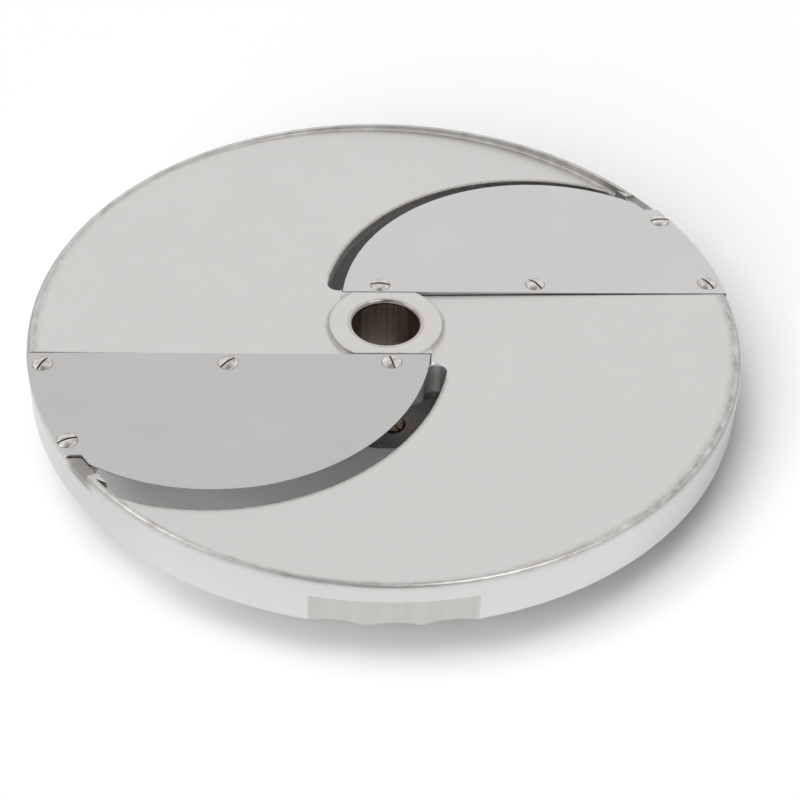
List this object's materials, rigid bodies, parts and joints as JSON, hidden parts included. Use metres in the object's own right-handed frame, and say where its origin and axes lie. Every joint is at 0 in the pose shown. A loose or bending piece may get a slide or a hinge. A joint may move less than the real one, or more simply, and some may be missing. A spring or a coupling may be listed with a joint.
{
  "type": "slicing disc",
  "caption": "Cast aluminium slicing disc with crescent-edged steel blades screwed to its top, sloping plates, curved slots behind a plain hub, and a scalloped finger grip in the rim.",
  "frame": {"origin": "centre of the hub's lower rest face, on the disc's axis", "axes": "+Z along the disc's axis towards the blades, +X along the row of screws of blade_1"},
  "size_m": [0.205, 0.205, 0.0303],
  "materials": {
    "cast_aluminium": "matte, lightly blasted and turned",
    "blade_steel": "fine ground satin",
    "screw_nickel": "worn bright plating",
    "bush_steel": "smooth turned",
    "set_screw_brass": "dull"
  },
  "bodies": {
    "root": {"disc_body": "cast_aluminium", "drive_bush": "bush_steel", "bush_set_screw": "set_screw_brass", "blade_1": "blade_steel", "blade_2": "blade_steel", "blade_1_screw_1": "screw_nickel", "blade_1_screw_2": "screw_nickel", "blade_1_screw_3": "screw_nickel", "blade_1_screw_4": "screw_nickel", "blade_2_screw_1": "screw_nickel", "blade_2_screw_2": "screw_nickel", "blade_2_screw_3": "screw_nickel", "blade_2_screw_4": "screw_nickel"}
  },
  "joints": []
}
